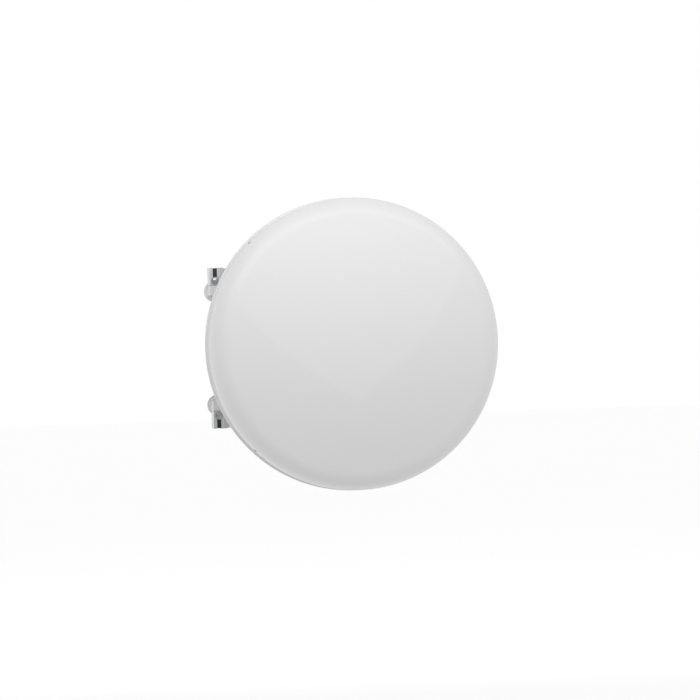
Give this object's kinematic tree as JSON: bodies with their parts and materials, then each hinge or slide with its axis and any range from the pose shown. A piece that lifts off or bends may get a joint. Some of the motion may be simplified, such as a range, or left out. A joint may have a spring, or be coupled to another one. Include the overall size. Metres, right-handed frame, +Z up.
{
  "type": "shrouded microwave antenna",
  "caption": "Round shrouded dish antenna with a white convex radome, on an offset mast mount with adjustable azimuth, elevation and polarisation and slotted pole clamps.",
  "frame": {"origin": "on the axis of the largest mast (90 mm), halfway between the upper and lower clamp", "axes": "+Z up along the mast; the antenna looks along -Y; +X from the mast towards the antenna's centre"},
  "size_m": [0.664, 0.4785, 0.664],
  "materials": {
    "radome_shell": "smooth satin white moulding",
    "painted_shell": "satin light grey powder coat",
    "painted_bracket": "satin light grey powder coat",
    "spun_aluminium": "spun, fine turning marks",
    "cast_aluminium": "blasted casting",
    "zinc_steel": "zinc plated",
    "absorber_foam": "open cell foam",
    "dielectric": "turned plastic",
    "seal_rubber": "moulded rubber",
    "cap_plastic": "moulded black plastic"
  },
  "bodies": {
    "mast_mount": {"mast_bracket": "painted_bracket", "upper_front_jaw": "cast_aluminium", "lower_front_jaw": "cast_aluminium", "upper_jaw_bolt": "zinc_steel", "lower_jaw_bolt": "zinc_steel", "upper_left_clamp_bolt": "zinc_steel", "upper_right_clamp_bolt": "zinc_steel", "lower_left_clamp_bolt": "zinc_steel", "lower_right_clamp_bolt": "zinc_steel", "azimuth_pivot_bolt_upper": "zinc_steel", "azimuth_pivot_bolt_lower": "zinc_steel", "azimuth_pivot_nut_upper": "zinc_steel", "azimuth_pivot_nut_lower": "zinc_steel", "azimuth_rod": "zinc_steel", "azimuth_rod_nut": "zinc_steel"},
    "azimuth_arm": {"azimuth_bracket": "painted_bracket", "elevation_pivot_bolt": "zinc_steel", "elevation_pivot_nut": "zinc_steel", "elevation_lock_upper_bolt": "zinc_steel", "elevation_lock_upper_nut": "zinc_steel", "elevation_lock_lower_bolt": "zinc_steel", "elevation_lock_lower_nut": "zinc_steel", "elevation_rod": "zinc_steel", "elevation_rod_foot_nut": "zinc_steel", "elevation_rod_seat_nut": "zinc_steel"},
    "antenna": {"radome": "radome_shell", "radome_screw_1": "zinc_steel", "radome_screw_2": "zinc_steel", "radome_screw_3": "zinc_steel", "radome_screw_4": "zinc_steel", "shroud": "painted_shell", "drain_plug": "cap_plastic", "absorber_lining": "absorber_foam", "reflector": "spun_aluminium", "back_ring": "cast_aluminium", "ring_bolt_1": "zinc_steel", "ring_bolt_2": "zinc_steel", "ring_bolt_3": "zinc_steel", "ring_bolt_4": "zinc_steel", "hub": "cast_aluminium", "feed_seal": "seal_rubber", "feed_clamp_ring": "cast_aluminium", "feed_clamp_screw_1": "zinc_steel", "feed_clamp_screw_2": "zinc_steel", "feed_clamp_screw_3": "zinc_steel", "elevation_plate": "painted_bracket"},
    "feed": {"feed_tube": "cast_aluminium", "feed_cone": "dielectric", "sub_reflector": "spun_aluminium", "port_cap": "cap_plastic"},
    "elevation_nuts": {"elevation_nut_upper": "zinc_steel", "elevation_nut_lower": "zinc_steel"},
    "azimuth_nuts": {"azimuth_nut_front": "zinc_steel", "azimuth_nut_rear": "zinc_steel"},
    "upper_rear_clamp": {"upper_rear_jaw": "cast_aluminium", "upper_left_clamp_nut": "zinc_steel", "upper_right_clamp_nut": "zinc_steel"},
    "lower_rear_clamp": {"lower_rear_jaw": "cast_aluminium", "lower_left_clamp_nut": "zinc_steel", "lower_right_clamp_nut": "zinc_steel"}
  },
  "joints": [
    {"name": "azimuth", "type": "hinge", "parent": "mast_mount", "child": "azimuth_arm", "pos_m": [0.055, -0.11, 0], "axis": [0, 0, 1], "range_deg": [-15, 15]},
    {"name": "elevation", "type": "hinge", "parent": "azimuth_arm", "child": "antenna", "pos_m": [0.092, -0.075, 0], "axis": [-1, 0, 0], "range_deg": [-15, 15]},
    {"name": "polarisation", "type": "hinge", "parent": "antenna", "child": "feed", "pos_m": [0.192, -0.1, 0], "axis": [0, 1, 0], "range_deg": [-5, 95]},
    {"name": "elevation_adjust", "type": "slide", "parent": "azimuth_arm", "child": "elevation_nuts", "axis": [0, 0, 1], "range_m": [-0.0119, 0.0119]},
    {"name": "azimuth_adjust", "type": "slide", "parent": "mast_mount", "child": "azimuth_nuts", "axis": [0, 1, 0], "range_m": [-0.0158, 0.0158]},
    {"name": "upper_clamp_open", "type": "slide", "parent": "mast_mount", "child": "upper_rear_clamp", "axis": [0, 1, 0], "range_m": [0, 0.048]},
    {"name": "lower_clamp_open", "type": "slide", "parent": "mast_mount", "child": "lower_rear_clamp", "axis": [0, 1, 0], "range_m": [0, 0.048]}
  ],
  "couplings": [
    {"joint": "elevation_adjust", "follows": "elevation", "m_per_rad": -0.045},
    {"joint": "azimuth_adjust", "follows": "azimuth", "m_per_rad": -0.06}
  ]
}
